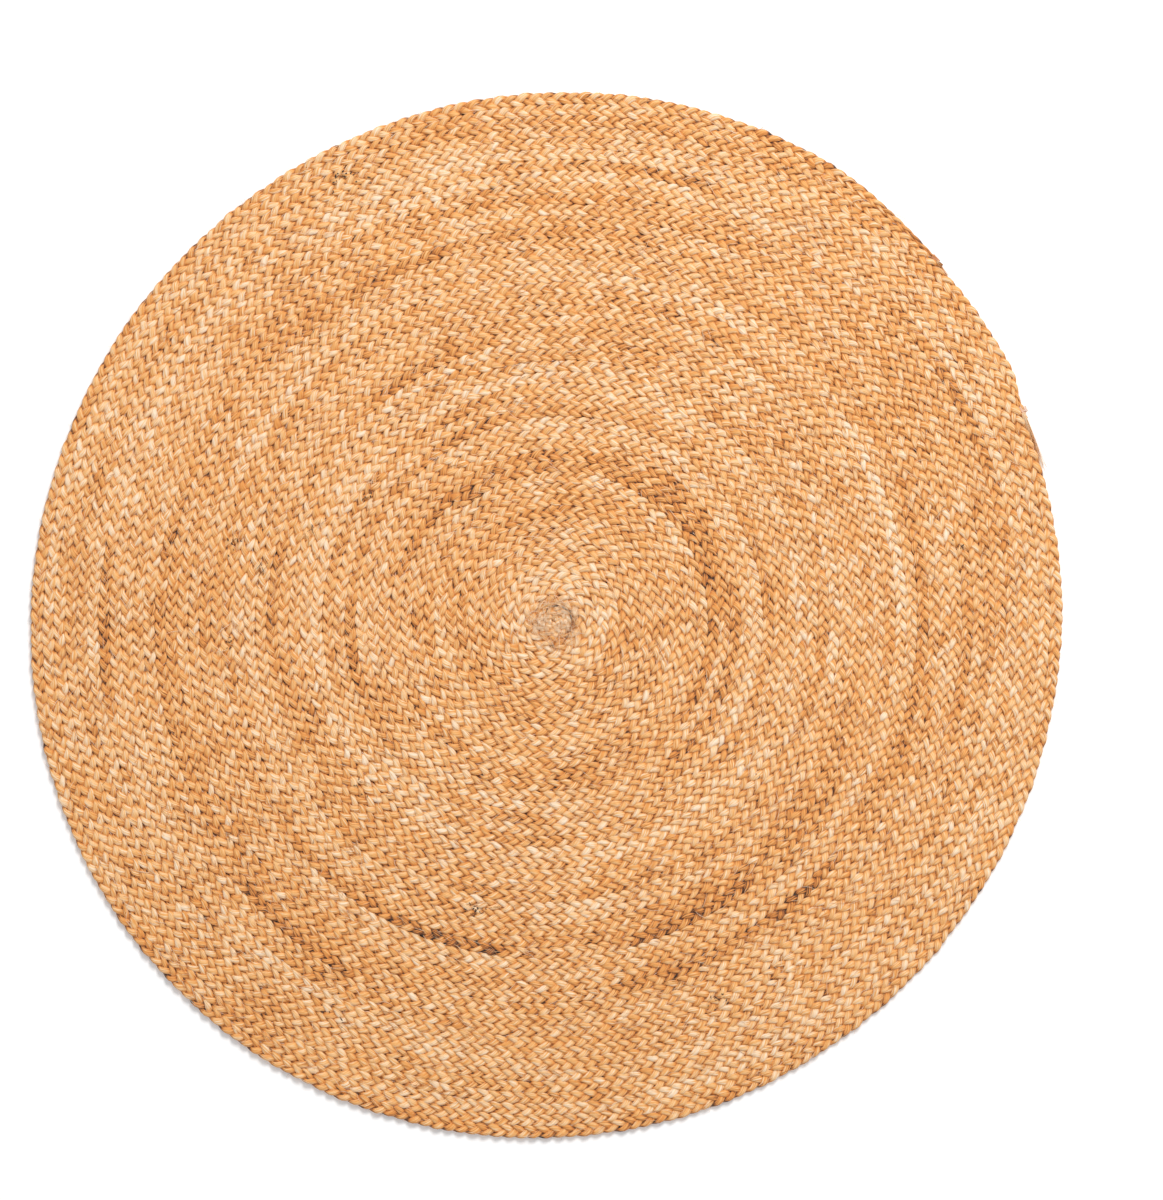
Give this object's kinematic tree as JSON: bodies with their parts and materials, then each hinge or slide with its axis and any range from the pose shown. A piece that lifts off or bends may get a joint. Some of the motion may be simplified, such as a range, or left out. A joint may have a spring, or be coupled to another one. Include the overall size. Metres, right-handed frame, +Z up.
{
  "type": "round braided rug",
  "caption": "Round flat-coiled rug of two three-strand jute plaits wound side by side in a double spiral, laced edge to edge, with whipped ends at the rim.",
  "frame": {"origin": "on the floor under the middle of the rug's box", "axes": "+Z up through the rug's thickness, from the floor to the upper side; +X and +Y in the plane of the floor"},
  "size_m": [1.188, 1.2048, 0.009],
  "materials": {
    "jute_strand": "natural undyed jute, loosely twisted strand, matt with a faint dry sheen along the fibres",
    "core_jute": "finer fuzzy undyed jute, matt",
    "lacing_twine": "thin pale jute twine, matt"
  },
  "bodies": {
    "root": {"centre_coil": "core_jute", "plait_a_strand_1_length_1": "jute_strand", "plait_a_strand_1_length_2": "jute_strand", "plait_a_strand_1_length_3": "jute_strand", "plait_a_strand_1_length_4": "jute_strand", "plait_a_strand_2_length_1": "jute_strand", "plait_a_strand_2_length_2": "jute_strand", "plait_a_strand_2_length_3": "jute_strand", "plait_a_strand_2_length_4": "jute_strand", "plait_a_strand_3_length_1": "jute_strand", "plait_a_strand_3_length_2": "jute_strand", "plait_a_strand_3_length_3": "jute_strand", "plait_a_strand_3_length_4": "jute_strand", "lacing_a": "lacing_twine", "end_binding_a": "lacing_twine", "plait_b_strand_1_length_1": "jute_strand", "plait_b_strand_1_length_2": "jute_strand", "plait_b_strand_1_length_3": "jute_strand", "plait_b_strand_1_length_4": "jute_strand", "plait_b_strand_2_length_1": "jute_strand", "plait_b_strand_2_length_2": "jute_strand", "plait_b_strand_2_length_3": "jute_strand", "plait_b_strand_2_length_4": "jute_strand", "plait_b_strand_3_length_1": "jute_strand", "plait_b_strand_3_length_2": "jute_strand", "plait_b_strand_3_length_3": "jute_strand", "plait_b_strand_3_length_4": "jute_strand", "lacing_b": "lacing_twine", "end_binding_b": "lacing_twine"}
  },
  "joints": []
}
